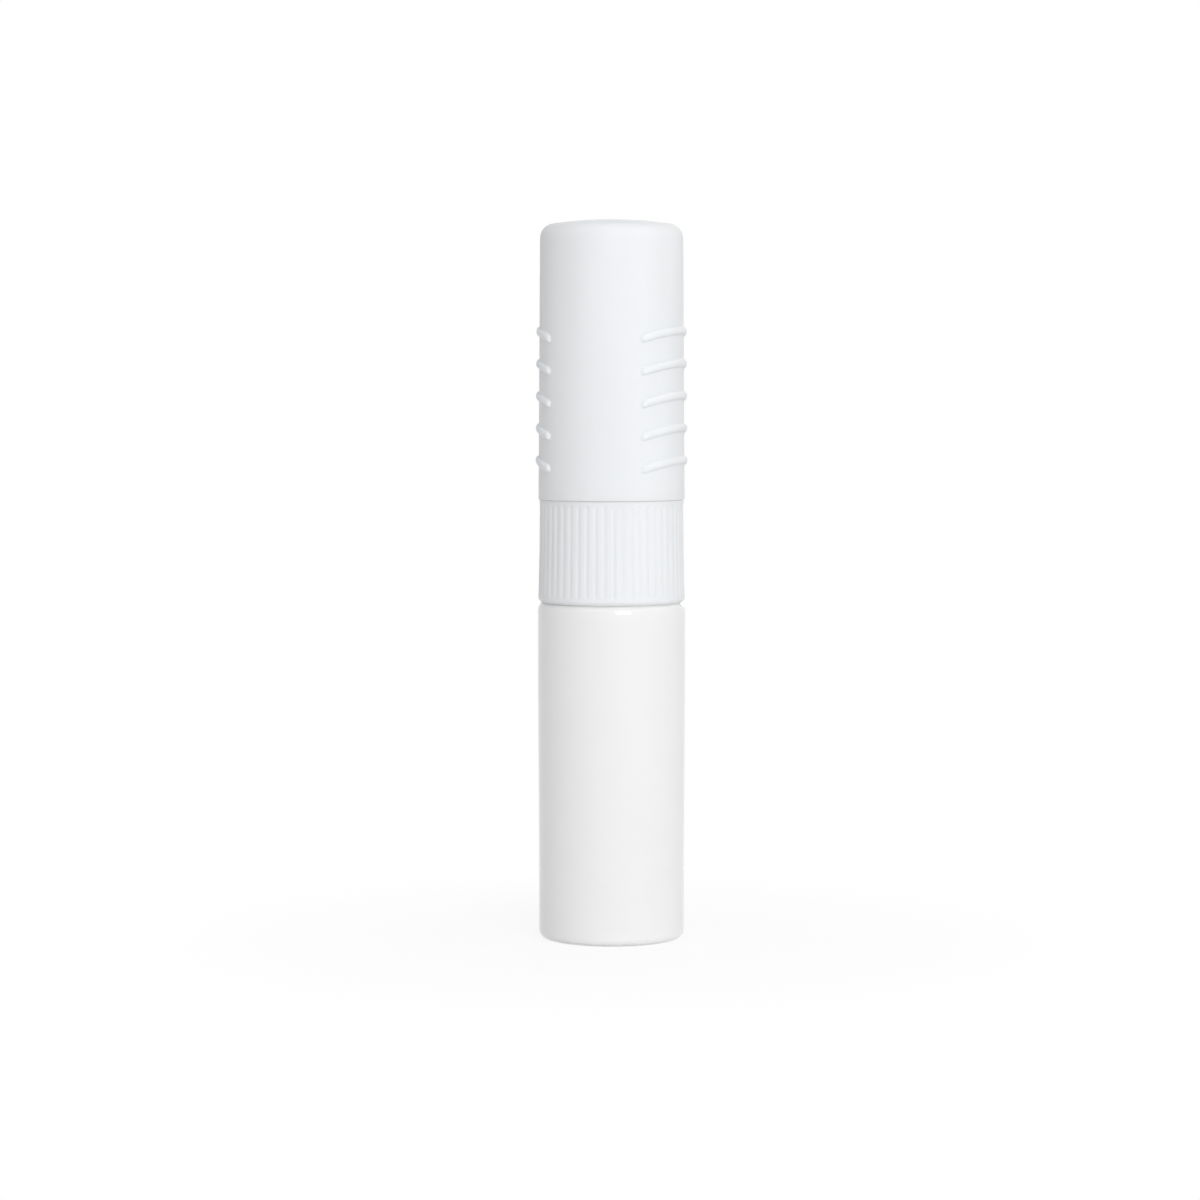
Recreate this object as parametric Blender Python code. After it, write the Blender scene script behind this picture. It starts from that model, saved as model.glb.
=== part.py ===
"""Nail art pen, closed and standing on its base.

A squeezable lacquer bottle holds a wiper in its neck and two loose mixing balls. A fluted collar
screws onto the neck. A liner brush hangs from it into the bottle, and a nozzle with a steel needle
stands in its boss. A long cap with grip ribs screws onto the boss and shuts the needle with a soft
seal and a cleaning pin.

Metres, +Z up, with the origin at the centre of the bottle's base. Both screw joints turn about Z.
"""

import math

import bmesh
import bpy

MM = 0.001

# Fits
SEAT_GAP = 0.3 * MM  # between pieces that rest on, or fit in, each other
FINE_GAP = 0.15 * MM  # the same round the hair-thin pieces of the tip and the brush
STEM_CLEARANCE = 0.4 * MM  # round the brush stem in the wiper, the gasket and the collar
NECK_THREAD_ROOM = 0.75 * MM  # from the neck to the collar's skirt, where their threads mesh
BOSS_THREAD_ROOM = 0.45 * MM  # from the boss to the cap's insert, where their threads mesh

# The pen's radius at the bottle's shoulder, which the collar and the cap almost match
PEN_RADIUS = 8.0 * MM
COLLAR_SETBACK = 0.07 * MM
CAP_SETBACK = 0.1 * MM

# Bottle
BODY_HEIGHT = 36.55 * MM
BODY_DRAFT = 0.11 * MM  # how much slimmer the body is at its foot
DRAFT_LOW = 8.0 * MM  # the body draws in between these two heights
DRAFT_HIGH = 30.0 * MM
BOTTLE_WALL = 0.9 * MM
BOTTLE_FLOOR = 1.2 * MM
SHOULDER_WALL = 1.2 * MM
HEEL_ROUND = 0.9 * MM
SHOULDER_ROUND = 0.9 * MM
INNER_HEEL_ROUND = 1.0 * MM
INNER_SHOULDER_ROUND = 2.0 * MM
PUSH_UP = 0.5 * MM  # the base's hollow
STANDING_RING = 1.2 * MM  # the width of the flat ring that the bottle stands on
NECK_WALL = 1.3 * MM
NECK_FILLET = 0.4 * MM
NECK_CHAMFER = 0.3 * MM

# Wiper
WIPER_FLANGE = 0.6 * MM
WIPER_WALL = 0.6 * MM
WIPER_LENGTH = 6.6 * MM
WIPER_LIP = 0.35 * MM
WIPER_CONE = 1.6 * MM  # the height over which the tube closes in to its lip

# Mixing balls
BALL_RADIUS = 1.75 * MM

# Collar
COLLAR_HEIGHT = 10.75 * MM
COLLAR_FLARE = 0.18 * MM  # how much wider the skirt is at its foot
COLLAR_WALL = 1.4 * MM
COLLAR_DECK = 1.6 * MM
COLLAR_LEDGE = 1.2 * MM
COLLAR_ROUND = 0.3 * MM
FLUTES = 50
FLUTE_DEPTH = 0.18 * MM
FLUTE_FOOT = 0.65 * MM  # the plain band under the flutes
FLUTE_HEAD = 0.35 * MM  # the plain band above them
FLUTE_RUN_OUT = 0.3 * MM
BOSS_HEIGHT = 6.4 * MM
BOSS_WALL = 1.4 * MM
BOSS_CHAMFER = 0.4 * MM
GASKET_THICKNESS = 0.7 * MM

# Brush
STEM_RADIUS = 1.75 * MM
STEM_WALL = 0.9 * MM
STEM_HEAD = 1.5 * MM
STEM_WEB = 1.0 * MM  # between the ferrule's socket and the channel
SOCKET_WALL = 0.4 * MM
INLET_RADIUS = 0.55 * MM
INLET_SILL = 0.3 * MM
FERRULE_WALL = 0.3 * MM
FERRULE_SEAT = 2.2 * MM
FERRULE_SHOWING = 2.2 * MM
TUFT_LENGTH = 11.0 * MM
TUFT_TIP_RADIUS = 0.12 * MM
TUFT_FULLNESS = 1.6  # above 1, the tuft keeps its width and narrows late
TUFT_ABOVE_FLOOR = 5.3 * MM
HAIR_RIDGES = 12
HAIR_GROOVE = 0.12 * MM

# Nozzle, needle and cleaning pin
NOZZLE_FLANGE = 0.9 * MM
NOZZLE_FLANGE_SETBACK = 0.5 * MM
NOZZLE_FLANGE_LEDGE = 0.9 * MM
NOZZLE_CONE = 6.8 * MM
NOZZLE_WAIST = 0.42  # the share of its taper that is left half way up the cone
NOZZLE_TIP_WALL = 0.45 * MM
NOZZLE_BORE = 1.4 * MM
NEEDLE_SEAT = 3.6 * MM  # how deep the needle stands in the nozzle
NEEDLE_SHOWING = 4.2 * MM
NEEDLE_WALL = 0.15 * MM
PIN_RADIUS = 0.15 * MM
PIN_REACH = 3.5 * MM  # how far the pin stands in the needle
PIN_ANCHOR = 1.6 * MM  # how far it stands in the cap's post

# Cap
CAP_HEIGHT = 29.9 * MM
CAP_DRAFT = 0.2 * MM  # how much slimmer the cap is at its crown
CAP_WALL = 1.1 * MM
CAP_STEP = 0.3 * MM  # the step that the insert is pushed up to
CAP_TOP = 1.3 * MM
CAP_EDGE_ROUND = 1.5 * MM
CAP_CROWN_RISE = 0.45 * MM
CAP_MOUTH_ROUND = 0.25 * MM
POST_RADIUS = 1.35 * MM
NIPPLE_RADIUS = 0.8 * MM
NIPPLE_LENGTH = 1.2 * MM
INSERT_RECESS = 0.4 * MM
INSERT_HEIGHT = 6.3 * MM
INSERT_WALL = 0.75 * MM
INSERT_CHAMFER = 0.3 * MM
SEAL_OVER_NEEDLE = 1.8 * MM
SEAL_WEB = 0.5 * MM

# Grip ribs on the cap
RIBS = 5
RIB_FIRST = 4.1 * MM  # from the cap's mouth to the lowest rib's peak
RIB_PITCH = 3.47 * MM
RIB_WIDTH = 0.9 * MM
RIB_PROUD = 0.33 * MM
RIB_DROP = 1.0 * MM  # how far a rib falls from its peak to each end
RIB_HALF_SPAN = math.radians(50)
RIB_GROUP_AZIMUTH = math.radians(-16.2)  # of the first group, from +X; the second is opposite

# Facets round a full turn, in a quarter round and along a rib
SEGMENTS = 40
SMALL_SEGMENTS = 24
TINY_SEGMENTS = 12
ROUND_STEPS = 4
INNER_ROUND_STEPS = 3
FINE_ROUND_STEPS = 2
RIB_SIDES = 8
RIB_STEPS = 10
FLUTE_STATIONS = (0.0, 0.5, 0.68, 0.82)  # crest, crest, floor, floor, as shares of a pitch

# Radii that follow
BODY_FOOT_RADIUS = PEN_RADIUS - BODY_DRAFT
COLLAR_FOOT_RADIUS = PEN_RADIUS - COLLAR_SETBACK
COLLAR_HEAD_RADIUS = COLLAR_FOOT_RADIUS - COLLAR_FLARE
SKIRT_BORE = COLLAR_HEAD_RADIUS - COLLAR_WALL
NECK_RADIUS = SKIRT_BORE - NECK_THREAD_ROOM
NECK_BORE = NECK_RADIUS - NECK_WALL
NECK_RIM_RADIUS = NECK_RADIUS - NECK_CHAMFER
WIPER_RADIUS = NECK_BORE - SEAT_GAP
STEM_HOLE = STEM_RADIUS + STEM_CLEARANCE
CAP_MOUTH_RADIUS = PEN_RADIUS - CAP_SETBACK
CAP_CROWN_RADIUS = CAP_MOUTH_RADIUS - CAP_DRAFT
INSERT_SOCKET = CAP_MOUTH_RADIUS - CAP_WALL
INSERT_RADIUS = INSERT_SOCKET - SEAT_GAP
INSERT_BORE = INSERT_RADIUS - INSERT_WALL
BOSS_RADIUS = INSERT_BORE - BOSS_THREAD_ROOM
BOSS_BORE = BOSS_RADIUS - BOSS_WALL
SHANK_RADIUS = BOSS_BORE - SEAT_GAP
NOZZLE_FLANGE_RADIUS = BOSS_RADIUS - NOZZLE_FLANGE_SETBACK
NOZZLE_BASE_RADIUS = NOZZLE_FLANGE_RADIUS - NOZZLE_FLANGE_LEDGE
NEEDLE_BORE = PIN_RADIUS + FINE_GAP
NEEDLE_RADIUS = NEEDLE_BORE + NEEDLE_WALL
NEEDLE_SOCKET = NEEDLE_RADIUS + FINE_GAP
NOZZLE_TIP_RADIUS = NEEDLE_SOCKET + NOZZLE_TIP_WALL
FERRULE_SOCKET = STEM_RADIUS - SOCKET_WALL
FERRULE_RADIUS = FERRULE_SOCKET - FINE_GAP
FERRULE_BORE = FERRULE_RADIUS - FERRULE_WALL
TUFT_RADIUS = FERRULE_BORE - FINE_GAP
CHANNEL_RADIUS = STEM_RADIUS - STEM_WALL
BALL_ORBIT = (STEM_RADIUS + BODY_FOOT_RADIUS - BOTTLE_WALL) / 2

# Heights that follow
FLOOR = PUSH_UP + BOTTLE_FLOOR
CEILING = BODY_HEIGHT - SHOULDER_WALL
COLLAR_FOOT = BODY_HEIGHT + SEAT_GAP
COLLAR_HEAD = COLLAR_FOOT + COLLAR_HEIGHT
DECK = COLLAR_HEAD - COLLAR_DECK
GASKET_TOP = DECK - SEAT_GAP
GASKET_FOOT = GASKET_TOP - GASKET_THICKNESS
WIPER_TOP = GASKET_FOOT - SEAT_GAP
WIPER_SEAT = WIPER_TOP - WIPER_FLANGE
WIPER_FOOT = WIPER_SEAT - WIPER_LENGTH
NECK_TOP = WIPER_SEAT - SEAT_GAP
LEDGE = DECK + COLLAR_LEDGE
STEM_SEAT = LEDGE + SEAT_GAP
STEM_TOP = STEM_SEAT + STEM_HEAD
TUFT_TIP = FLOOR + TUFT_ABOVE_FLOOR
FERRULE_FOOT = TUFT_TIP + TUFT_LENGTH
STEM_FOOT = FERRULE_FOOT + FERRULE_SHOWING
FERRULE_TOP = STEM_FOOT + FERRULE_SEAT
CHANNEL_FOOT = FERRULE_TOP + FINE_GAP + STEM_WEB
INLET_HEIGHT = CHANNEL_FOOT + INLET_SILL + INLET_RADIUS
BOSS_TOP = COLLAR_HEAD + BOSS_HEIGHT
NOZZLE_FOOT = STEM_TOP + SEAT_GAP
NOZZLE_SEAT = BOSS_TOP + SEAT_GAP
CONE_FOOT = NOZZLE_SEAT + NOZZLE_FLANGE
NOZZLE_TIP = CONE_FOOT + NOZZLE_CONE
NEEDLE_FOOT = NOZZLE_TIP - NEEDLE_SEAT
NEEDLE_TIP = NOZZLE_TIP + NEEDLE_SHOWING
SEAL_FOOT = NEEDLE_TIP - SEAL_OVER_NEEDLE
WEB_FOOT = NEEDLE_TIP + FINE_GAP
WEB_TOP = WEB_FOOT + SEAL_WEB
NIPPLE_TIP = WEB_TOP + FINE_GAP
POST_FOOT = NIPPLE_TIP + NIPPLE_LENGTH
SEAL_TOP = POST_FOOT - FINE_GAP
PIN_FOOT = NEEDLE_TIP - PIN_REACH
PIN_TOP = POST_FOOT + PIN_ANCHOR
CAP_MOUTH = COLLAR_HEAD + SEAT_GAP
CAP_APEX = CAP_MOUTH + CAP_HEIGHT
CAP_RIM = CAP_APEX - CAP_CROWN_RISE
CAP_CEILING = CAP_RIM - CAP_TOP
INSERT_FOOT = CAP_MOUTH + INSERT_RECESS
INSERT_TOP = INSERT_FOOT + INSERT_HEIGHT
INSERT_STOP = INSERT_TOP + SEAT_GAP


def clear_scene():
    for thing in list(bpy.data.objects):
        bpy.data.objects.remove(thing)


def material(name, colour, roughness, metallic=0.0):
    """A plain Principled material, colour as linear red, green and blue."""
    made = bpy.data.materials.new(name)
    made.use_nodes = True
    shader = made.node_tree.nodes["Principled BSDF"]
    shader.inputs["Base Color"].default_value = (*colour, 1.0)
    shader.inputs["Roughness"].default_value = roughness
    shader.inputs["Metallic"].default_value = metallic
    made.diffuse_color = (*colour, 1.0)
    return made


def satin_white(name):
    return material(name, (0.86, 0.87, 0.9), 0.42)


def polished_steel(name):
    return material(name, (0.62, 0.63, 0.65), 0.18, 1.0)


def finish(bm, name, datum, surface):
    """Turns bm into the named object, with its origin at height datum, shaded smooth."""
    bmesh.ops.remove_doubles(bm, verts=bm.verts, dist=MM / 1000)
    bmesh.ops.recalc_face_normals(bm, faces=bm.faces)
    mesh = bpy.data.meshes.new(name)
    bm.to_mesh(mesh)
    bm.free()
    mesh.shade_smooth()
    mesh.set_sharp_from_angle(angle=math.radians(35))
    mesh.materials.append(surface)
    made = bpy.data.objects.new(name, mesh)
    made.location.z = datum
    bpy.context.scene.collection.objects.link(made)
    return made


def arc(centre_radius, centre_height, size, start, end, steps=ROUND_STEPS):
    """Points (radius, height) on an arc in the half plane, angles in degrees from outwards to up."""
    turns = [math.radians(start + (end - start) * i / steps) for i in range(steps + 1)]
    return [
        (centre_radius + size * math.cos(turn), centre_height + size * math.sin(turn))
        for turn in turns
    ]


def spun(outline, datum, segments):
    """The outline of (radius, height) points spun round Z. It is closed, or ends on the axis."""
    bm = bmesh.new()
    verts = [bm.verts.new((radius, 0, height - datum)) for radius, height in outline]
    pairs = list(zip(verts, verts[1:]))
    if outline[0][0] > 0:
        pairs.append((verts[-1], verts[0]))
    edges = [bm.edges.new(pair) for pair in pairs]
    bmesh.ops.spin(
        bm,
        geom=verts + edges,
        cent=(0, 0, 0),
        axis=(0, 0, 1),
        angle=math.tau,
        steps=segments,
        use_merge=True,
    )
    return bm


def turned(name, outline, surface, datum=0.0, segments=SEGMENTS):
    return finish(spun(outline, datum, segments), name, datum, surface)


def boolean(target, other, operation):
    """Adds other to target, or cuts it out, and leaves other as a guide that isn't rendered."""
    step = target.modifiers.new(other.name, "BOOLEAN")
    step.operation = operation
    step.solver = "EXACT"
    step.object = other
    other.hide_render = True
    other.display_type = "WIRE"


def body_radius(height):
    """The body's outer radius: full below the shoulder, drawn in gently towards the foot."""
    share = (height - DRAFT_LOW) / (DRAFT_HIGH - DRAFT_LOW)
    share = min(max(share, 0.0), 1.0)
    return BODY_FOOT_RADIUS + BODY_DRAFT * share * share * (3 - 2 * share)


def body_heights(low, high, steps=4):
    return [low + (high - low) * i / steps for i in range(steps + 1)]


def bottle():
    ring_inside = BODY_FOOT_RADIUS - HEEL_ROUND - STANDING_RING
    hollow = [(ring_inside * s, PUSH_UP * (1 - s * s)) for s in (0.0, 0.5, 0.8, 1.0)]
    heel = arc(BODY_FOOT_RADIUS - HEEL_ROUND, HEEL_ROUND, HEEL_ROUND, -90, 0)
    shoulder_foot = BODY_HEIGHT - SHOULDER_ROUND
    wall = [(body_radius(z), z) for z in body_heights(HEEL_ROUND, shoulder_foot)]
    shoulder = arc(PEN_RADIUS - SHOULDER_ROUND, shoulder_foot, SHOULDER_ROUND, 0, 90)
    root = arc(
        NECK_RADIUS + NECK_FILLET,
        BODY_HEIGHT + NECK_FILLET,
        NECK_FILLET,
        -90,
        -180,
        FINE_ROUND_STEPS,
    )
    neck = [
        (NECK_RADIUS, NECK_TOP - NECK_CHAMFER),
        (NECK_RIM_RADIUS, NECK_TOP),
        (NECK_BORE, NECK_TOP),
        (NECK_BORE, CEILING),
    ]
    inner_wall_top = CEILING - INNER_SHOULDER_ROUND
    inner_shoulder = arc(
        PEN_RADIUS - BOTTLE_WALL - INNER_SHOULDER_ROUND,
        inner_wall_top,
        INNER_SHOULDER_ROUND,
        90,
        0,
        INNER_ROUND_STEPS,
    )
    inner_wall_foot = FLOOR + INNER_HEEL_ROUND
    inner_wall = [
        (body_radius(z) - BOTTLE_WALL, z)
        for z in reversed(body_heights(inner_wall_foot, inner_wall_top))
    ]
    inner_heel = arc(
        BODY_FOOT_RADIUS - BOTTLE_WALL - INNER_HEEL_ROUND,
        inner_wall_foot,
        INNER_HEEL_ROUND,
        0,
        -90,
        INNER_ROUND_STEPS,
    )
    outline = hollow + heel + wall[1:-1] + shoulder + root + neck
    outline += inner_shoulder + inner_wall[1:-1] + inner_heel + [(0, FLOOR)]
    return turned("bottle", outline, material("bottle_gloss", (0.85, 0.85, 0.85), 0.08))


def wiper():
    inside = WIPER_RADIUS - WIPER_WALL
    outline = [
        (inside, WIPER_TOP),
        (NECK_RIM_RADIUS, WIPER_TOP),
        (NECK_RIM_RADIUS, WIPER_SEAT),
        (WIPER_RADIUS, WIPER_SEAT),
        (WIPER_RADIUS, WIPER_FOOT + WIPER_CONE),
        (STEM_HOLE + WIPER_LIP, WIPER_FOOT),
        (STEM_HOLE, WIPER_FOOT),
        (STEM_HOLE, WIPER_FOOT + WIPER_LIP),
        (inside, WIPER_FOOT + WIPER_LIP + WIPER_CONE),
    ]
    surface = material("wiper_plastic", (0.8, 0.82, 0.84), 0.35)
    return turned("wiper", outline, surface, WIPER_SEAT, SEGMENTS // 2)


def mixing_ball(name, side):
    """A loose steel ball on the bottle's floor, in front of the brush (side -1) or behind it (1)."""
    bm = bmesh.new()
    bmesh.ops.create_icosphere(bm, subdivisions=3, radius=BALL_RADIUS)
    ball = finish(bm, name, FLOOR + SEAT_GAP + BALL_RADIUS, polished_steel(name + "_steel"))
    ball.location.y = side * BALL_ORBIT
    return ball


def gasket():
    outline = [
        (STEM_HOLE, GASKET_FOOT),
        (STEM_HOLE, GASKET_TOP),
        (NECK_RIM_RADIUS, GASKET_TOP),
        (NECK_RIM_RADIUS, GASKET_FOOT),
    ]
    surface = material("gasket_foam", (0.78, 0.79, 0.8), 0.7)
    return turned("collar_gasket", outline, surface, GASKET_FOOT, SEGMENTS // 2)


def skirt_radius(height):
    """The collar's outer radius, which flares towards its foot."""
    share = (COLLAR_HEAD - height) / COLLAR_HEIGHT
    return COLLAR_HEAD_RADIUS + COLLAR_FLARE * share * share


def collar_ring(bm, height, radii):
    """A ring of points that repeats the radii once a flute: a single one, or one for each station."""
    ring = []
    for flute in range(FLUTES):
        for share, radius in zip(FLUTE_STATIONS, radii):
            turn = math.tau * (flute + share) / FLUTES
            x, y = radius * math.cos(turn), radius * math.sin(turn)
            ring.append(bm.verts.new((x, y, height - COLLAR_FOOT)))
    return ring


def join_rings(bm, first, second):
    """Faces between two rings. Where one has more points, each face takes a flute's share of them."""
    few, many = sorted((first, second), key=len)
    ratio = len(many) // len(few)
    for i in range(len(few)):
        j = (i + 1) % len(few)
        run = [many[(i * ratio + k) % len(many)] for k in range(ratio + 1)]
        bm.faces.new([few[i], few[j], *reversed(run)])


def fluted_skirt(bm):
    """The skirt's rings, from the plain band at its foot, up the flutes, to the one at its head."""
    low, high = COLLAR_FOOT + FLUTE_FOOT, COLLAR_HEAD - FLUTE_HEAD
    rings = [collar_ring(bm, low, [skirt_radius(low)] * 4)]
    for height in (low + FLUTE_RUN_OUT, (low + high) / 2, high - FLUTE_RUN_OUT):
        crest = skirt_radius(height)
        floor = crest - FLUTE_DEPTH
        rings.append(collar_ring(bm, height, [crest, crest, floor, floor]))
    rings.append(collar_ring(bm, high, [skirt_radius(high)] * 4))
    return rings


def collar():
    """The collar is one closed stack of rings, which runs round its wall from the bore's foot."""
    foot = arc(
        COLLAR_FOOT_RADIUS - COLLAR_ROUND,
        COLLAR_FOOT + COLLAR_ROUND,
        COLLAR_ROUND,
        -90,
        0,
        FINE_ROUND_STEPS,
    )
    head = arc(
        COLLAR_HEAD_RADIUS - COLLAR_ROUND,
        COLLAR_HEAD - COLLAR_ROUND,
        COLLAR_ROUND,
        0,
        90,
        FINE_ROUND_STEPS,
    )
    boss_root = arc(
        BOSS_RADIUS + BOSS_CHAMFER,
        COLLAR_HEAD + BOSS_CHAMFER,
        BOSS_CHAMFER,
        -90,
        -180,
        FINE_ROUND_STEPS,
    )
    boss = [
        (BOSS_RADIUS, BOSS_TOP - BOSS_CHAMFER),
        (BOSS_RADIUS - BOSS_CHAMFER, BOSS_TOP),
        (BOSS_BORE, BOSS_TOP),
        (BOSS_BORE, LEDGE),
        (STEM_HOLE, LEDGE),
        (STEM_HOLE, DECK),
        (SKIRT_BORE, DECK),
    ]
    bore_foot = [
        (SKIRT_BORE, COLLAR_FOOT + COLLAR_ROUND),
        (SKIRT_BORE + COLLAR_ROUND, COLLAR_FOOT),
    ]
    bm = bmesh.new()
    rings = [collar_ring(bm, height, [radius]) for radius, height in bore_foot + foot]
    rings += fluted_skirt(bm)
    rings += [collar_ring(bm, height, [radius]) for radius, height in head + boss_root + boss]
    for first, second in zip(rings, rings[1:] + rings[:1]):
        join_rings(bm, first, second)
    return finish(bm, "collar", COLLAR_FOOT, satin_white("collar_satin"))


def brush_stem():
    """A hollow stem: a head in the boss, a channel down to the inlet and a socket for the ferrule."""
    outline = [
        (0, FERRULE_TOP + FINE_GAP),
        (FERRULE_SOCKET, FERRULE_TOP + FINE_GAP),
        (FERRULE_SOCKET, STEM_FOOT),
        (STEM_RADIUS - FINE_GAP, STEM_FOOT),
        (STEM_RADIUS, STEM_FOOT + FINE_GAP),
        (STEM_RADIUS, STEM_SEAT),
        (SHANK_RADIUS, STEM_SEAT),
        (SHANK_RADIUS, STEM_TOP),
        (CHANNEL_RADIUS, STEM_TOP),
        (CHANNEL_RADIUS, CHANNEL_FOOT),
        (0, CHANNEL_FOOT),
    ]
    surface = material("stem_plastic", (0.84, 0.85, 0.87), 0.3)
    stem = turned("brush_stem", outline, surface, STEM_SEAT, SMALL_SEGMENTS)
    bm = bmesh.new()
    bmesh.ops.create_cone(
        bm,
        cap_ends=True,
        segments=TINY_SEGMENTS,
        radius1=INLET_RADIUS,
        radius2=INLET_RADIUS,
        depth=4 * STEM_RADIUS,
    )
    drill = finish(bm, "inlet_drill", INLET_HEIGHT, surface)
    drill.rotation_euler.y = math.radians(90)
    boolean(stem, drill, "DIFFERENCE")
    return stem


def brush_ferrule():
    outline = [
        (FERRULE_BORE, FERRULE_TOP),
        (FERRULE_RADIUS, FERRULE_TOP),
        (FERRULE_RADIUS, FERRULE_FOOT),
        (FERRULE_BORE, FERRULE_FOOT),
    ]
    surface = polished_steel("ferrule_steel")
    return turned("brush_ferrule", outline, surface, FERRULE_FOOT, SMALL_SEGMENTS)


def brush_tuft():
    """The liner tuft: straight in the ferrule, then ridged like its hairs and drawn to a fine tip."""
    bm = bmesh.new()
    rings = []
    root_top = FERRULE_TOP - FINE_GAP
    shares = (0.0, 0.12, 0.3, 0.5, 0.7, 0.88, 1.0)
    stations = [(root_top, TUFT_RADIUS)]
    for share in shares:
        narrowing = (TUFT_RADIUS - TUFT_TIP_RADIUS) * share**TUFT_FULLNESS
        stations.append((FERRULE_FOOT - TUFT_LENGTH * share, TUFT_RADIUS - narrowing))
    for height, radius in stations:
        ring = []
        groove = min(HAIR_GROOVE, radius / 4)
        for i in range(2 * HAIR_RIDGES):
            turn = math.pi * i / HAIR_RIDGES
            reach = radius - groove * (i % 2)
            x, y = reach * math.cos(turn), reach * math.sin(turn)
            ring.append(bm.verts.new((x, y, height - FERRULE_FOOT)))
        rings.append(ring)
    for first, second in zip(rings, rings[1:]):
        join_rings(bm, first, second)
    bm.faces.new(rings[0])
    bm.faces.new(rings[-1])
    return finish(bm, "brush_tuft", FERRULE_FOOT, material("tuft_nylon", (0.42, 0.3, 0.2), 0.5))


def nozzle():
    """A cone with a stepped bore: a wide inlet, a fine throat and the needle's socket."""
    throat_foot = NEEDLE_FOOT - FINE_GAP - NOZZLE_TIP_WALL
    waist = NOZZLE_TIP_RADIUS + (NOZZLE_BASE_RADIUS - NOZZLE_TIP_RADIUS) * NOZZLE_WAIST
    outline = [
        (NOZZLE_BORE, NOZZLE_FOOT),
        (SHANK_RADIUS, NOZZLE_FOOT),
        (SHANK_RADIUS, NOZZLE_SEAT),
        (NOZZLE_FLANGE_RADIUS, NOZZLE_SEAT),
        (NOZZLE_FLANGE_RADIUS, CONE_FOOT - FINE_GAP),
        (NOZZLE_FLANGE_RADIUS - FINE_GAP, CONE_FOOT),
        (NOZZLE_BASE_RADIUS, CONE_FOOT),
        (waist, CONE_FOOT + NOZZLE_CONE / 2),
        (NOZZLE_TIP_RADIUS, NOZZLE_TIP - FINE_GAP),
        (NOZZLE_TIP_RADIUS - FINE_GAP, NOZZLE_TIP),
        (NEEDLE_SOCKET, NOZZLE_TIP),
        (NEEDLE_SOCKET, NEEDLE_FOOT - FINE_GAP),
        (NEEDLE_BORE, NEEDLE_FOOT - FINE_GAP),
        (NEEDLE_BORE, throat_foot),
    ]
    surface = material("nozzle_plastic", (0.88, 0.88, 0.9), 0.25)
    return turned("nozzle", outline, surface, NOZZLE_SEAT, SMALL_SEGMENTS)


def needle_tube():
    outline = [
        (NEEDLE_BORE, NEEDLE_TIP),
        (NEEDLE_RADIUS, NEEDLE_TIP),
        (NEEDLE_RADIUS, NEEDLE_FOOT),
        (NEEDLE_BORE, NEEDLE_FOOT),
    ]
    surface = polished_steel("needle_steel")
    return turned("needle_tube", outline, surface, NEEDLE_FOOT, TINY_SEGMENTS)


def tip_seal():
    """Two cups back to back: the lower takes the needle's tip, the upper the post's nipple."""
    upper_bore = NIPPLE_RADIUS + FINE_GAP
    pin_hole = PIN_RADIUS + FINE_GAP
    outline = [
        (NEEDLE_SOCKET, SEAL_FOOT),
        (POST_RADIUS - FINE_GAP, SEAL_FOOT),
        (POST_RADIUS, SEAL_FOOT + FINE_GAP),
        (POST_RADIUS, SEAL_TOP),
        (upper_bore, SEAL_TOP),
        (upper_bore, WEB_TOP),
        (pin_hole, WEB_TOP),
        (pin_hole, WEB_FOOT),
        (NEEDLE_SOCKET, WEB_FOOT),
    ]
    surface = material("seal_rubber", (0.7, 0.71, 0.72), 0.6)
    return turned("tip_seal", outline, surface, SEAL_FOOT, SMALL_SEGMENTS)


def cleaning_pin():
    outline = [(0, PIN_FOOT), (PIN_RADIUS, PIN_FOOT), (PIN_RADIUS, PIN_TOP), (0, PIN_TOP)]
    return turned("cleaning_pin", outline, polished_steel("pin_steel"), PIN_FOOT, TINY_SEGMENTS)


def cap_radius(height):
    """The cap's outer radius, slimmer towards its crown."""
    return CAP_MOUTH_RADIUS - CAP_DRAFT * (height - CAP_MOUTH) / CAP_HEIGHT


def rib_section(bm, turn, height, scale):
    """One ring of a rib: an ellipse on the cap's surface, or a single point where scale is 0."""
    sides = RIB_SIDES if scale > 0 else 1
    ring = []
    for i in range(sides):
        angle = math.tau * (i + 0.5) / sides
        reach = cap_radius(height) + RIB_PROUD * scale * math.cos(angle)
        rise = RIB_WIDTH / 2 * scale * math.sin(angle)
        place = (reach * math.cos(turn), reach * math.sin(turn), height + rise - CAP_MOUTH)
        ring.append(bm.verts.new(place))
    return ring


def grip_rib(bm, middle, peak):
    """A half-round bar that arches round the cap, highest at its middle, with rounded ends."""
    end = RIB_WIDTH / 2 / CAP_MOUTH_RADIUS
    full = RIB_HALF_SPAN - end
    rounding = [math.radians(angle) for angle in (0, 30, 60)]
    nose = [(full + end * math.cos(angle), math.sin(angle)) for angle in rounding]
    stations = [(-turn, scale) for turn, scale in nose]
    stations += [(full * (2 * i / RIB_STEPS - 1), 1.0) for i in range(RIB_STEPS + 1)]
    stations += reversed(nose)
    rings = []
    for turn, scale in stations:
        height = peak - RIB_DROP * (turn / RIB_HALF_SPAN) ** 2
        rings.append(rib_section(bm, middle + turn, height, scale))
    for first, second in zip(rings[1:], rings[2:-1]):
        join_rings(bm, first, second)
    for tip, ring in ((rings[0], rings[1]), (rings[-1], rings[-2])):
        for i in range(len(ring)):
            bm.faces.new([tip[0], ring[i], ring[(i + 1) % len(ring)]])


def grip_ribs(surface):
    bm = bmesh.new()
    for group in (RIB_GROUP_AZIMUTH, RIB_GROUP_AZIMUTH + math.pi):
        for rib in range(RIBS):
            grip_rib(bm, group, CAP_MOUTH + RIB_FIRST + RIB_PITCH * rib)
    return finish(bm, "grip_ribs", CAP_MOUTH, surface)


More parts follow.
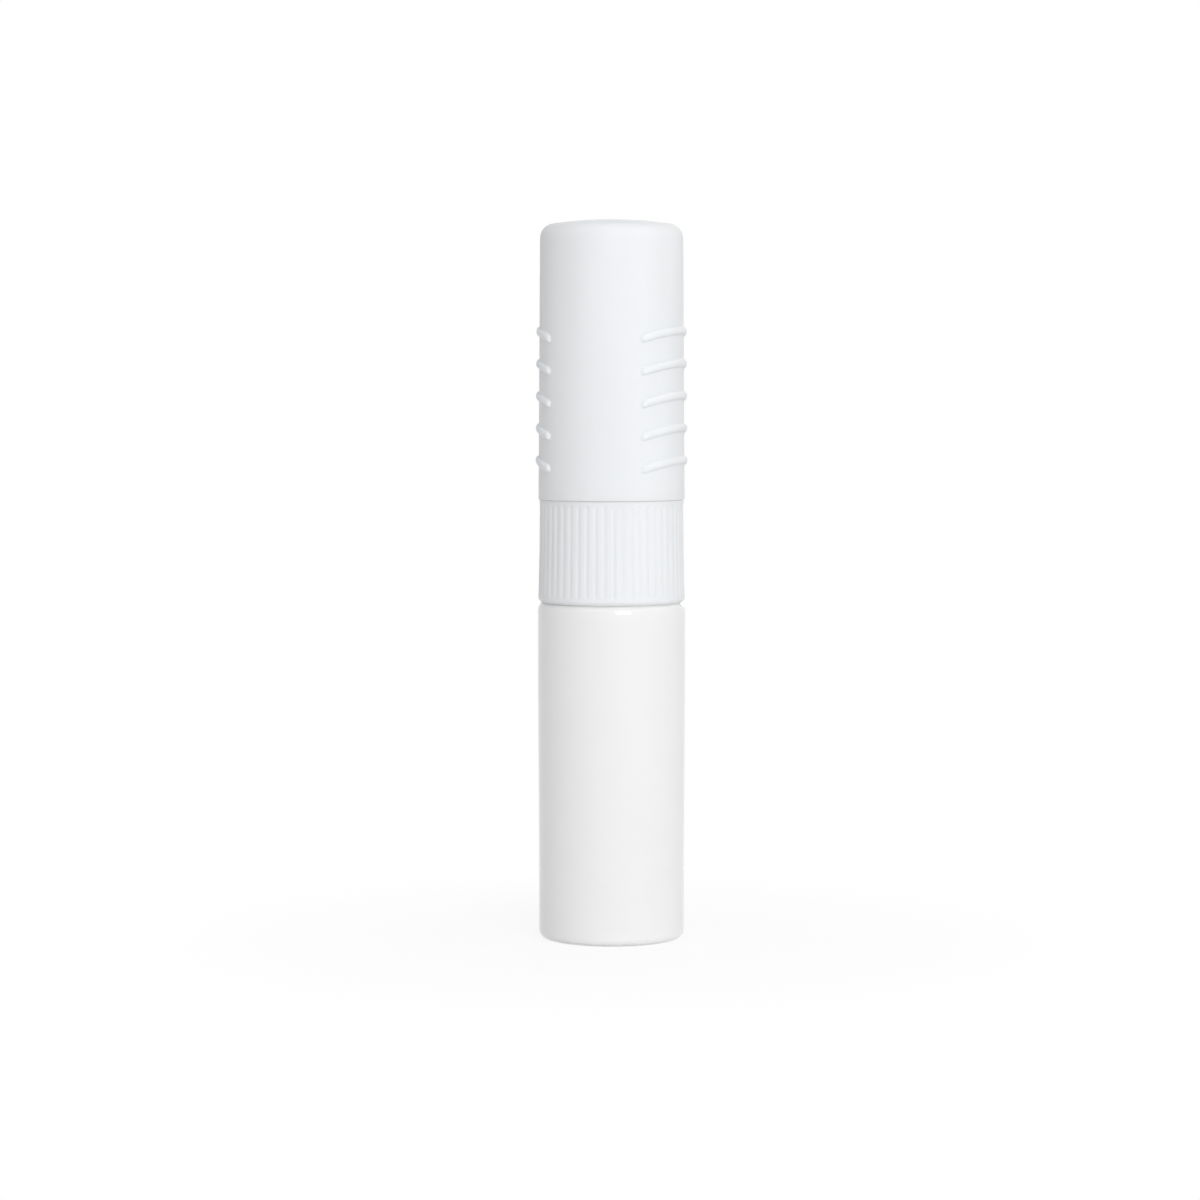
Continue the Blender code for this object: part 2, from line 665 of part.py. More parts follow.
def cap():
    """The cap's shell, with its crown, the insert's socket and the post that carries the seal."""
    bore_foot = INSERT_SOCKET - CAP_STEP
    bore_top = CAP_CROWN_RADIUS - CAP_WALL - CAP_STEP
    edge_foot = CAP_RIM - CAP_EDGE_ROUND
    pin_hole = PIN_RADIUS + FINE_GAP
    outline = [
        (0, PIN_TOP + FINE_GAP),
        (pin_hole, PIN_TOP + FINE_GAP),
        (pin_hole, NIPPLE_TIP),
        (NIPPLE_RADIUS, NIPPLE_TIP),
        (NIPPLE_RADIUS, POST_FOOT),
        (POST_RADIUS, POST_FOOT),
        (POST_RADIUS, CAP_CEILING),
    ]
    inner_round = CAP_EDGE_ROUND / 2
    outline += arc(
        bore_top - inner_round,
        CAP_CEILING - inner_round,
        inner_round,
        90,
        0,
        FINE_ROUND_STEPS,
    )
    outline += [
        (bore_foot, INSERT_STOP),
        (INSERT_SOCKET, INSERT_STOP),
        (INSERT_SOCKET, CAP_MOUTH),
    ]
    outline += arc(
        CAP_MOUTH_RADIUS - CAP_MOUTH_ROUND,
        CAP_MOUTH + CAP_MOUTH_ROUND,
        CAP_MOUTH_ROUND,
        -90,
        0,
        FINE_ROUND_STEPS,
    )
    crown = cap_radius(edge_foot) - CAP_EDGE_ROUND
    outline += arc(crown, edge_foot, CAP_EDGE_ROUND, 0, 90)
    outline += [(crown * s, CAP_RIM + CAP_CROWN_RISE * (1 - s * s)) for s in (0.7, 0.35, 0.0)]
    surface = satin_white("cap_satin")
    shell = turned("cap", outline, surface, CAP_MOUTH)
    boolean(shell, grip_ribs(surface), "UNION")
    return shell


def cap_insert():
    outline = [
        (INSERT_BORE + INSERT_CHAMFER, INSERT_FOOT),
        (INSERT_RADIUS, INSERT_FOOT),
        (INSERT_RADIUS, INSERT_TOP - INSERT_CHAMFER),
        (INSERT_RADIUS - INSERT_CHAMFER, INSERT_TOP),
        (INSERT_BORE, INSERT_TOP),
        (INSERT_BORE, INSERT_FOOT + INSERT_CHAMFER),
    ]
    surface = material("insert_plastic", (0.82, 0.83, 0.85), 0.35)
    return turned("cap_insert", outline, surface, INSERT_FOOT)


def pivot(name, height, pieces):
    """An empty on the pen's axis that carries the pieces."""
    axis = bpy.data.objects.new(name, None)
    axis.location.z = height
    axis.empty_display_size = PEN_RADIUS
    bpy.context.scene.collection.objects.link(axis)
    for piece in pieces:
        piece.parent = axis
        piece.location.z -= height
    return axis


def build_pen():
    clear_scene()
    bottle()
    wiper()
    mixing_ball("mixing_ball_front", -1)
    mixing_ball("mixing_ball_rear", 1)
    brush = [brush_stem(), brush_ferrule(), brush_tuft()]
    tip = [nozzle(), needle_tube()]
    pivot("collar_axis", COLLAR_FOOT, [gasket(), collar(), *brush, *tip])
    pivot("cap_axis", CAP_MOUTH, [cap(), cap_insert(), tip_seal(), cleaning_pin()])


build_pen()
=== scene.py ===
"""Dresses the nail art pen: closed, standing on a pale floor, seen from the front.

Every piece is turned again from its own outline in the frame, finer and with its edges rounded.
What the plain solids leave out is added: fluted and ribbed skins, screw threads, the lacquer that
lines the clear bottle, and the brush's single hairs.
"""

import functools
import math
import random

import bmesh
import bpy
from mathutils import Matrix, Vector


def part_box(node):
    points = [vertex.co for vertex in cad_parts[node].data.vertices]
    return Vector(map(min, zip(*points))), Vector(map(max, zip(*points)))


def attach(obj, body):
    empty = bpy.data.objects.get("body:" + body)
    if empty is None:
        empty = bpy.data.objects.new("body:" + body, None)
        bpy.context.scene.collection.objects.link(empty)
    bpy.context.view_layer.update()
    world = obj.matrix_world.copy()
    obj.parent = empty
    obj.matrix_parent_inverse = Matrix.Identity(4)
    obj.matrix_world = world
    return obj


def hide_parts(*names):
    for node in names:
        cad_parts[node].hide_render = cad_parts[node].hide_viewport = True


MM = 0.001
WELD = 0.002 * MM
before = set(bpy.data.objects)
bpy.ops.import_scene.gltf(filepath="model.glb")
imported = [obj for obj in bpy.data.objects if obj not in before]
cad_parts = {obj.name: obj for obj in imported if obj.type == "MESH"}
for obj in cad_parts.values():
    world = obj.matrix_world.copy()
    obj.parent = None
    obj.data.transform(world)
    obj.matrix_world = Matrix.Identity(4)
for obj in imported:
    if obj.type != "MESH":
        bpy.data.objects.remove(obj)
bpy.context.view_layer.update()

# Camera and light, in metres, watts and degrees
CAMERA_PLACE = Vector((0, -400, 61.65)) * MM
CAMERA_AIM = Vector((-1.25, 0, 36.75)) * MM
CAMERA_LENS = 111
CAMERA_SENSOR = 36
CAMERA_CLIP = 0.01
AMBIENT = 0.52
LAMP_AIM = 0.04  # the height that the lamps point at
LAMP_DISTANCE = 1.6
LAMPS = {  # power, width, height, azimuth, elevation
    "key": (11.2, 0.6, 0.85, 19, 22),
    "top": (1.9, 1.3, 1.3, 40, 62),
    "rear": (3.0, 0.6, 0.6, 172, 14),
}

# Floor
FLOOR_RADIUS = 4
FLOOR_WHITE = (0.95, 0.95, 0.95)
FLOOR_SHADE = (0.935, 0.935, 0.935)
GLOW_LEAST = 0.86  # how much of the white backdrop it shows near the pen, where its shadow falls
GLOW_START = 0.008  # from the pen's axis
GLOW_FULL = 0.06

# Turned pieces
STEP_CLEARANCE = 1 * MM  # this far past a step in a wall, only the next wall is found
COLUMNS = 96
PIN_COLUMNS = 32
NEEDLE_COLUMNS = 48
BALL_COLUMNS = 48
BALL_ROWS = 24
FINE_COLUMNS = 64
LACQUER_COLUMNS = 128
BOTTLE_COLUMNS = 160
STRAIGHT = math.radians(1)  # a turn under this is no corner
SOFT_TURN = math.radians(40)  # a corner that turns less belongs to a round, and is smoothed away
CORNER_ROOM = 0.8  # a sharp corner's rounding takes at most this share of half the shorter side
EDGE = 0.12 * MM  # how far back from a sharper corner its rounding starts
CORNER_STEPS = 3
FINE_EDGE = 0.05 * MM
NOZZLE_EDGE = 0.1 * MM
NEEDLE_EDGE = 0.03 * MM
FERRULE_EDGE = 0.06 * MM
BOTTLE_EDGE = 0.15 * MM
BOTTLE_CORNER_STEPS = 4

# Seats, where pieces that the frame keeps apart meet, all but this gap
SEAT_GAP = 0.004 * MM
BODY_RISE = 0.13 * MM
CAP_SEAT = 0.2 * MM  # how far the cap's rim comes down, and the collar's head comes up for the rest
# Profiles at the seats in mm, as (out from the pen's axis, up from the seat)
SHOULDER = [(7.4, 0), (7.46, -0.05), (7.64, -0.2), (7.82, -0.42), (7.94, -0.7), (7.99, -0.95), (8, -1.2)]
COLLAR_LIP = [(7.45, 0), (7.58, -0.11), (7.63, -0.11), (7.66, 0)]
COLLAR_BROW = [(7.7, 0), (7.76, -0.04), (7.785, -0.12), (7.79, -0.3)]
CAP_RIM = [(7.9, 0)]
RIM_RADIUS = 7.2 * MM  # the rims lie outside this
SHOULDER_RADIUS = 7 * MM
RIM_HEIGHT = 0.4 * MM
SHOULDER_HEIGHT = 1.1 * MM
BOTTLE_SKIN_DEPTH = 1.5 * MM  # from the bottle's widest place, to tell its body from its neck

# Collar flutes
FLUTES = 50
FLUTE_COLUMNS = 12
FLUTE_DEPTH = 0.075 * MM
FLUTE_CENTRE = 0.75  # as a share of the pitch from +X
FLUTE_HALF_WIDTH = 0.34  # likewise
FLUTE_FOOT = 0.35 * MM
FLUTE_HEAD = 0.3 * MM
FLUTE_RUN_OUT = 0.45 * MM
FLUTE_ROW_STEP = 1.5 * MM
SKIRT_DEPTH = 0.9 * MM  # the flutes reach only points within this of the skirt's widest place

# Cap ribs
RIBS = 5
RIB_FIRST = 4.1 * MM
RIB_PITCH = 3.47 * MM
RIB_WIDTH = 0.9 * MM
RIB_PROUD = 0.33 * MM
RIB_DROP = 1.0 * MM
RIB_HALF_SPAN = math.radians(50)
RIB_AZIMUTH = math.radians(-16.2)
RIB_COLUMNS = 360
RIB_REACH = 0.75  # how far past the first and last rib their arch is felt, as a share of the pitch
RIB_FILLET_HEIGHT = 0.12
RIB_FILLET_IN = 0.8  # where the fillet starts and ends, as shares of the half width
RIB_FILLET_OUT = 1.25
# Rows of points below a rib's crest, as shares of the half width
RIB_ROWS = [-1.3, -1.16, -1.02, -0.94, -0.84, -0.68, -0.46, -0.23]
RIB_ROW_INSET = 0.01 * MM
RIB_LEAST_END = 0.05  # how narrow a rib's round end gets, as a share of its width
CAP_SKIN_DEPTH = 0.8 * MM  # the ribs reach only points within this of the cap's widest place

# Threads
NECK_PITCH = 2.4 * MM
NECK_TURNS = 1.75
NECK_RIDGE = 0.45 * MM
NECK_HALF_WIDTH = 0.62 * MM
NECK_START = 1.7 * MM  # above the shoulder
NECK_PLAIN_FOOT = 0.6 * MM  # the neck's plain ends, which need no rows
NECK_PLAIN_HEAD = 0.4 * MM
NECK_ROW_STEP = 0.11 * MM
NECK_RUN_OUT = 0.12  # in turns
NECK_FULLNESS = 1.6  # above 1, the ridge is flat on top
SKIRT_RIDGE = 0.15 * MM
SKIRT_START = 1.6 * MM
SKIRT_THREAD_WIDTH = 1.1 * MM
BOSS_PITCH = 1.9 * MM
BOSS_TURNS = 1.75
BOSS_RIDGE = 0.26 * MM
BOSS_START = 1.5 * MM
BOSS_THREAD_WIDTH = 1.0 * MM
SLEEVE_RIDGE = 0.11 * MM
SLEEVE_START = 1.1 * MM
SLEEVE_THREAD_WIDTH = 0.9 * MM
THREAD_STEPS = 96  # in a turn
THREAD_ROOT = 0.2 * MM
THREAD_RUN_OUT = 0.1  # in turns
THREAD_END_WIDTH = 0.3  # as a share of its full width
# A bar's flank and crest, as (share of the ridge, share of the width)
THREAD_SECTION = [(0.0, -0.5), (0.75, -0.28), (1.0, -0.14), (1.0, 0.14), (0.75, 0.28), (0.0, 0.5)]

# Lacquer
CLEAR_DEPTH = 0.12 * MM  # where the round wall shows the lacquer, as a lens does: near its outside
LACQUER_SIDE = 0.72 * MM  # how thick it lines the wall's inside
LACQUER_LEVEL = 2.0 * MM  # below the bottle's ceiling
LACQUER_FILM = 0.15 * MM  # the thickness of its surface, over the hollow that holds the balls
LACQUER_ROOF = 0.1 * MM  # from the ceiling, beside the neck's bore
LACQUER_WAY = 2.1 * MM  # the radius of the way that the brush takes through it
LACQUER_GAP = 0.05 * MM  # from the neck's bore
LACQUER_NECK_ROOM = 0.6 * MM  # it ends this far from the neck's outside
# Corners of its hollow in mm, as (out from its side, up from the height in the name)
HOLLOW_AT_CEILING = [(-0.9, -0.15)]
HOLLOW_AT_LEVEL = [(0, 0.5), (-0.3, 0)]
HOLLOW_AT_FLOOR = [(0, 1.2), (-0.5, 0.25)]

# Brush
HAIRS = 240
HAIR_RADIUS = 0.028 * MM
HAIR_RINGS = 9
HAIR_SIDES = 4
HAIR_THINNING = 0.75  # how much of its radius a hair loses by its tip
HAIR_SWAY = 0.12  # in radians, as is the scatter
HAIR_SCATTER = 0.1
HAIR_SEED = 11
GOLDEN_ANGLE = 2.39996
TIP_SPREAD = 0.22  # how much sooner the outer hairs end, as a share of the tuft
TIP_SCATTER = 0.06
BELOW_FERRULE = 0.97  # the hairs draw in to this share as they leave the ferrule
CRIMPS = (0.35, 0.62)  # as shares of the ferrule's length below the stem
CRIMP_DEPTH = 0.07 * MM
CRIMP_HALF_WIDTH = 0.22 * MM
CRIMP_ROW_STEP = 0.05 * MM
CRIMP_ROWS = 5  # on each side of its middle
FERRULE_SKIN = 0.1 * MM  # a point further than this from the bore belongs to the outside
INLET_ABOVE_END = 1 * MM  # the stem's inlet lies between these two, from its end and its head
INLET_BELOW_HEAD = 3 * MM
INLET_RIM = 0.8  # its rim lies further out than this share of the stem's radius
INLET_SIDES = 32

# Materials
SATIN_DEPTH = 0.5 * MM  # how far light scatters under the surface
LACQUER_DEPTH = 0.6 * MM
NOISE_RANGE = (0.3, 0.7)  # nearly all of a noise's values lie between these


# Reading the frame
@functools.cache
def foot(node):
    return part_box(node)[0].z


@functools.cache
def head(node):
    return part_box(node)[1].z


@functools.cache
def half_section(node, across="x"):
    """The node's outline in the half plane through +Y (across x) or +X (across y), in order."""
    out = "y" if across == "x" else "x"
    bm = bmesh.new()
    bm.from_mesh(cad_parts[node].data)
    bmesh.ops.remove_doubles(bm, verts=bm.verts, dist=WELD)
    flat = [v for v in bm.verts if abs(getattr(v.co, across)) < WELD and getattr(v.co, out) > -WELD]
    chosen = set(flat)
    links = {v: [e.other_vert(v) for e in v.link_edges if e.other_vert(v) in chosen] for v in flat}
    ends = [v for v in flat if len(links[v]) == 1]
    here = min(ends or flat, key=lambda v: (v.co.z, getattr(v.co, out)))
    outline, seen = [], set()
    while here is not None:
        seen.add(here)
        outline.append((max(getattr(here.co, out), 0.0), here.co.z))
        here = next((v for v in links[here] if v not in seen), None)
    bm.free()
    if ends and not on_axis(outline[0]):
        outline.insert(0, (0.0, outline[0][1]))
    if ends and not on_axis(outline[-1]):
        outline.append((0.0, outline[-1][1]))
    return outline


def on_axis(point):
    return point[0] < WELD


# Outlines
def rounded(outline, edge=EDGE, steps=CORNER_STEPS):
    """The outline with its soft corners smoothed away and its sharp ones rounded."""
    made = []
    count = len(outline)
    for i, (r, z) in enumerate(outline):
        before, after = outline[i - 1], outline[(i + 1) % count]
        if on_axis((r, z)):
            made.append((r, z))
            continue
        corner = Vector((r, z))
        back, onward = Vector(before) - corner, Vector(after) - corner
        turn = math.pi - back.angle(onward)
        if turn < STRAIGHT:
            made.append((r, z))
            continue
        reach = 0.5 * min(back.length, onward.length)
        if turn > SOFT_TURN:
            reach = min(edge, CORNER_ROOM * reach)
        start = corner + back.normalized() * reach
        end = corner + onward.normalized() * reach
        for k in range(steps + 1):
            s = k / steps
            point = start * (1 - s) ** 2 + corner * 2 * s * (1 - s) + end * s * s
            made.append((point.x, point.y))
    tidy = [made[0]]
    for point in made[1:]:
        if (Vector(point) - Vector(tidy[-1])).length > WELD:
            tidy.append(point)
    if (Vector(tidy[0]) - Vector(tidy[-1])).length <= WELD:
        tidy.pop()
    return tidy


def with_rows(outline, heights, least_radius, most_radius=1.0):
    """The outline with more points, at the given heights, on its sides between the two radii."""
    made = []
    for here, there in zip(outline, outline[1:] + outline[:1]):
        made.append(here)
        if not all(least_radius < point[0] < most_radius for point in (here, there)):
            continue
        low, high = sorted((here[1], there[1]))
        if high - low < WELD:
            continue
        rows = sorted(h for h in heights if low + WELD < h < high - WELD)
        if here[1] > there[1]:
            rows.reverse()
        for height in rows:
            share = (height - here[1]) / (there[1] - here[1])
            made.append((here[0] + (there[0] - here[0]) * share, height))
    return made


def reshaped(outline, low, high, least_radius, points):
    """The outline with its run of points inside this window replaced by these."""
    inside = [i for i, (r, z) in enumerate(outline) if low < z < high and r > least_radius]
    before = Vector(outline[inside[0] - 1])
    if (before - Vector(points[-1])).length < (before - Vector(points[0])).length:
        points = points[::-1]
    return outline[: inside[0]] + points + outline[inside[-1] + 1 :]


def placed(profile, seat, side=0.0):
    """A profile in mm put at a seat, measured out from the side, or else from the pen's axis."""
    return [(side + out * MM, seat + up * MM) for out, up in profile]


def seated(outline, low, high, least_radius, shift):
    """The outline with its points in this range of heights, outside this radius, moved up by shift."""
    return [(r, z + shift) if low < z < high and r > least_radius else (r, z) for r, z in outline]


def flange_seated(node, height):
    """The node's outline with its flange's underside brought down to this height, all but a hair."""
    outline = half_section(node)
    widest = max(r for r, z in outline)
    under = min(z for r, z in outline if r > widest - WELD)
    return seated(outline, under - WELD, under + WELD, 0, height + SEAT_GAP - under)


def steps_between(low, high, step):
    count = max(1, round((high - low) / step))
    return [low + (high - low) * i / count for i in range(count + 1)]


# Making a piece
def finish(bm, name, body, surface):
    """Turns bm into a smooth-shaded piece that rides on the body."""
    bmesh.ops.recalc_face_normals(bm, faces=bm.faces)
    mesh = bpy.data.meshes.new(name)
    bm.to_mesh(mesh)
    bm.free()
    mesh.shade_smooth()
    mesh.set_sharp_from_angle(angle=SOFT_TURN)
    mesh.materials.append(surface)
    piece = bpy.data.objects.new(name, mesh)
    bpy.context.scene.collection.objects.link(piece)
    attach(piece, body)
    return piece


def turned(name, outline, body, surface, columns=COLUMNS, warp=None):
    """The outline turned round Z. warp(angle, radius, height) may move each of its points."""
    bm = bmesh.new()
    rings = []
    for radius, height in outline:
        if on_axis((radius, height)):
            rings.append([bm.verts.new((0, 0, height))])
            continue
        ring = []
        for i in range(columns):
            angle = math.tau * i / columns
            r, z = warp(angle, radius, height) if warp else (radius, height)
            ring.append(bm.verts.new((r * math.cos(angle), r * math.sin(angle), z)))
        rings.append(ring)
    pairs = list(zip(rings, rings[1:]))
    if len(rings[0]) > 1:
        pairs.append((rings[-1], rings[0]))
    for first, second in pairs:
        for i in range(columns):
            j = (i + 1) % columns
            corners = [first[i % len(first)], first[j % len(first)]]
            corners += [second[j % len(second)], second[i % len(second)]]
            face = list(dict.fromkeys(corners))
            bm.faces.new(face)
    return finish(bm, name, body, surface)


def ridge_height(angle, height, low, pitch, turns, half_width):
    """How much of a screw ridge stands at this angle and height, from 0 to 1."""
    best = 0.0
    for lap in range(math.ceil(turns) + 1):
        travelled = angle / math.tau + lap
        if travelled > turns:
            break
        across = abs(height - low - pitch * travelled) / half_width
        if across >= 1:
            continue
        ramp = min(1.0, min(travelled, turns - travelled) / NECK_RUN_OUT)
        full = min(1.0, NECK_FULLNESS * (1 - across * across))
        best = max(best, full * ramp * ramp * (3 - 2 * ramp))
    return best


def thread(name, wall, proud, low, pitch, turns, width, body, slot, surface):
    """A screw ridge as its own bar, rooted in the wall. A negative proud makes it point inwards."""
    root = wall - math.copysign(THREAD_ROOT, proud)
    bm = bmesh.new()
    rings = []
    count = round(turns * THREAD_STEPS)
    for i in range(count + 1):
        angle = math.tau * i / THREAD_STEPS
        end = min(1.0, min(i, count - i) / (THREAD_RUN_OUT * THREAD_STEPS))
        ramp = end * end * (3 - 2 * end)
        middle = low + pitch * i / THREAD_STEPS
        wide = width * (THREAD_END_WIDTH + (1 - THREAD_END_WIDTH) * ramp)
        section = [(wall + proud * out * ramp, middle + wide * up) for out, up in THREAD_SECTION]
        section = [(root, section[0][1]), *section, (root, section[-1][1])]
        rings.append([bm.verts.new((r * math.cos(angle), r * math.sin(angle), z)) for r, z in section])
    for first, second in zip(rings, rings[1:]):
        for k in range(len(first)):
            m = (k + 1) % len(first)
            bm.faces.new([first[k], first[m], second[m], second[k]])
    bm.faces.new(rings[0])
    bm.faces.new(rings[-1])
    return finish(bm, name, body, surface)


# Making a material
def nodes_of(material):
    return material.node_tree.nodes, material.node_tree.links


def plain(name, colour, roughness, **inputs):
    """A Principled material with these values on the shader's own sockets."""
    material = bpy.data.materials.new(name)
    material.use_nodes = True
    shader = material.node_tree.nodes["Principled BSDF"]
    shader.inputs["Base Color"].default_value = (*colour, 1)
    shader.inputs["Roughness"].default_value = roughness
    for socket, value in inputs.items():
        shader.inputs[socket.replace("_", " ")].default_value = value
    return material


def milky(material, weight, depth):
    """Lets light scatter this deep under the surface, which softens its fine shadows."""
    shader = material.node_tree.nodes["Principled BSDF"]
    shader.inputs["Subsurface Weight"].default_value = weight
    shader.inputs["Subsurface Radius"].default_value = (1, 1, 1)
    shader.inputs["Subsurface Scale"].default_value = depth


def noise(material, scale, detail, stretch=(1, 1, 1)):
    """A noise texture in metres, so scale is its features per metre along each stretched axis."""
    nodes, links = nodes_of(material)
    place = nodes.new("ShaderNodeTexCoord")
    mapping = nodes.new("ShaderNodeMapping")
    mapping.inputs["Scale"].default_value = stretch
    texture = nodes.new("ShaderNodeTexNoise")
    texture.inputs["Scale"].default_value = scale
    texture.inputs["Detail"].default_value = detail
    links.new(place.outputs["Object"], mapping.inputs["Vector"])
    links.new(mapping.outputs["Vector"], texture.inputs["Vector"])
    return texture.outputs["Fac"]


def ranged(material, source, low, high):
    """The noise spread over low to high."""
    nodes, links = nodes_of(material)
    step = nodes.new("ShaderNodeMapRange")
    step.inputs["From Min"].default_value = NOISE_RANGE[0]
    step.inputs["From Max"].default_value = NOISE_RANGE[1]
    step.inputs["To Min"].default_value = low
    step.inputs["To Max"].default_value = high
    links.new(source, step.inputs["Value"])
    return step.outputs["Result"]


def vary_colour(material, source, colour, other):
    nodes, links = nodes_of(material)
    mix = nodes.new("ShaderNodeMix")
    mix.data_type = "RGBA"
    mix.inputs["A"].default_value = (*colour, 1)
    mix.inputs["B"].default_value = (*other, 1)
    links.new(ranged(material, source, 0, 1), mix.inputs["Factor"])
    links.new(mix.outputs["Result"], nodes["Principled BSDF"].inputs["Base Color"])


def vary_roughness(material, source, low, high):
    nodes, links = nodes_of(material)
    links.new(ranged(material, source, low, high), nodes["Principled BSDF"].inputs["Roughness"])


def bump(material, source, depth):
    """Adds a bump whose full height is depth, on top of any that is there."""
    nodes, links = nodes_of(material)
    step = nodes.new("ShaderNodeBump")
    step.inputs["Distance"].default_value = depth
    links.new(source, step.inputs["Height"])
    socket = nodes["Principled BSDF"].inputs["Normal"]
    if socket.links:
        links.new(socket.links[0].from_socket, step.inputs["Normal"])
    links.new(step.outputs["Normal"], socket)


def satin_plastic(name, colour=(0.842, 0.857, 0.876), roughness=0.62):
    """Moulded plastic with a fine spark-eroded skin and faint flow marks along its height."""
    material = plain(name, colour, roughness, Specular_IOR_Level=0.3)
    milky(material, 0.7, SATIN_DEPTH)
    shade = tuple(c * 0.975 for c in colour)
    flow = noise(material, scale=260, detail=2, stretch=(1, 1, 0.12))
    vary_colour(material, flow, colour, shade)
    vary_roughness(material, noise(material, scale=700, detail=4), roughness - 0.05, roughness + 0.06)
    bump(material, noise(material, scale=260, detail=2, stretch=(1, 1, 0.2)), depth=0.012 * MM)
    bump(material, noise(material, scale=14000, detail=2), depth=0.004 * MM)
    return material


def natural_plastic(name, colour=(0.84, 0.85, 0.86)):
    """Unpigmented, slightly cloudy plastic."""
    material = plain(name, colour, 0.35, Transmission_Weight=0.35, IOR=1.5)
    vary_colour(material, noise(material, scale=900, detail=4), colour, tuple(c * 0.94 for c in colour))
    bump(material, noise(material, scale=5000, detail=3), depth=0.005 * MM)
    return material


def clear_plastic():
    """Clear glossy plastic that bends the view and lets the lamps reach what stands behind it."""
    material = plain("clear_wall", (1, 1, 1), 0.02, Transmission_Weight=1.0, IOR=1.49)
    vary_roughness(material, noise(material, scale=500, detail=4), 0.01, 0.05)
    bump(material, noise(material, scale=120, detail=2, stretch=(1, 1, 0.25)), depth=0.012 * MM)
    nodes, links = nodes_of(material)
    path = nodes.new("ShaderNodeLightPath")
    lit = nodes.new("ShaderNodeMath")
    lit.operation = "MAXIMUM"
    links.new(path.outputs["Is Shadow Ray"], lit.inputs[0])
    links.new(path.outputs["Is Diffuse Ray"], lit.inputs[1])
    open_way = nodes.new("ShaderNodeBsdfTransparent")
    mix = nodes.new("ShaderNodeMixShader")
    links.new(lit.outputs[0], mix.inputs["Fac"])
    links.new(nodes["Principled BSDF"].outputs[0], mix.inputs[1])
    links.new(open_way.outputs[0], mix.inputs[2])
    links.new(mix.outputs[0], nodes["Material Output"].inputs["Surface"])
    return material


def lacquer_white():
    colour, shade = (0.868, 0.868, 0.868), (0.856, 0.856, 0.856)
    material = plain("white_lacquer", colour, 0.45, Specular_IOR_Level=0.1)
    milky(material, 1.0, LACQUER_DEPTH)
    vary_colour(material, noise(material, scale=90, detail=5, stretch=(1, 1, 0.4)), colour, shade)
    vary_roughness(material, noise(material, scale=400, detail=3), 0.4, 0.5)
    bump(material, noise(material, scale=300, detail=3), depth=0.01 * MM)
    return material


def polished_steel(name, roughness=0.08):
    colour = (0.62, 0.63, 0.65)
    material = plain(name, colour, roughness, Metallic=1.0)
    vary_colour(material, noise(material, scale=1500, detail=5), colour, (0.56, 0.57, 0.59))
    vary_roughness(material, noise(material, scale=6000, detail=5), roughness * 0.6, roughness * 1.8)
    return material


def drawn_steel(name):
    """Steel with the fine lines that drawing leaves along its length."""
    colour = (0.6, 0.61, 0.63)
    material = plain(name, colour, 0.25, Metallic=1.0)
    lines = noise(material, scale=30000, detail=2, stretch=(1, 1, 0.01))
    vary_colour(material, lines, colour, (0.53, 0.54, 0.56))
    vary_roughness(material, lines, 0.16, 0.34)
    bump(material, lines, depth=0.003 * MM)
    return material


def soft_rubber(name, colour=(0.78, 0.79, 0.8)):
    material = plain(name, colour, 0.6, Specular_IOR_Level=0.35)
    vary_colour(material, noise(material, scale=1200, detail=4), colour, tuple(c * 0.93 for c in colour))
    vary_roughness(material, noise(material, scale=2500, detail=3), 0.52, 0.7)
    bump(material, noise(material, scale=9000, detail=3), depth=0.008 * MM)
    return material


def hair_nylon():
    """Golden brown hair with long fine streaks."""
    dark, pale = (0.2, 0.1, 0.045), (0.56, 0.38, 0.22)
    material = plain("hair_nylon", pale, 0.38, Specular_IOR_Level=0.5)
    vary_colour(material, noise(material, scale=4000, detail=3, stretch=(1, 1, 0.06)), dark, pale)
    vary_roughness(material, noise(material, scale=8000, detail=2, stretch=(1, 1, 0.1)), 0.3, 0.48)
    return material


# Cap
def rib_shape(across):
    """A rib's height across its width, from 1 on its crest to 0 past its filleted foot."""
    across = abs(across)
    bead = math.sqrt(max(0.0, 1 - across * across))
    if not RIB_FILLET_IN < across < RIB_FILLET_OUT:
        return bead
    share = (RIB_FILLET_OUT - across) / (RIB_FILLET_OUT - RIB_FILLET_IN)
    return max(bead, RIB_FILLET_HEIGHT * share * share)


def cap_warp(angle, radius, height):
    """Lets the outer wall's rows follow the arched ribs, and raises the ribs on them."""
    if radius < CAP_OUTSIDE or not CAP_RIBS_FOOT < height < CAP_RIBS_HEAD:
        return radius, height
    turn = (angle - RIB_AZIMUTH + math.pi / 2) % math.pi - math.pi / 2
    share = min(1.0, abs(turn) / RIB_HALF_SPAN)
    margin = min(height - CAP_RIBS_FOOT, CAP_RIBS_HEAD - height) / (RIB_PITCH / 2)
    arched = height - RIB_DROP * share * share * min(1.0, margin)
    end = RIB_WIDTH / 2 / radius
    past = (abs(turn) - (RIB_HALF_SPAN - end)) / end
    if past >= 1:
        return radius, arched
    fade = math.sqrt(1 - max(0.0, past) ** 2)
    rib = round((height - CAP_FOOT - RIB_FIRST) / RIB_PITCH)
    rib = min(max(rib, 0), RIBS - 1)
    offset = height - CAP_FOOT - RIB_FIRST - RIB_PITCH * rib
    across = offset / (RIB_WIDTH / 2) / max(fade, RIB_LEAST_END)
    return radius + RIB_PROUD * fade * rib_shape(across), arched


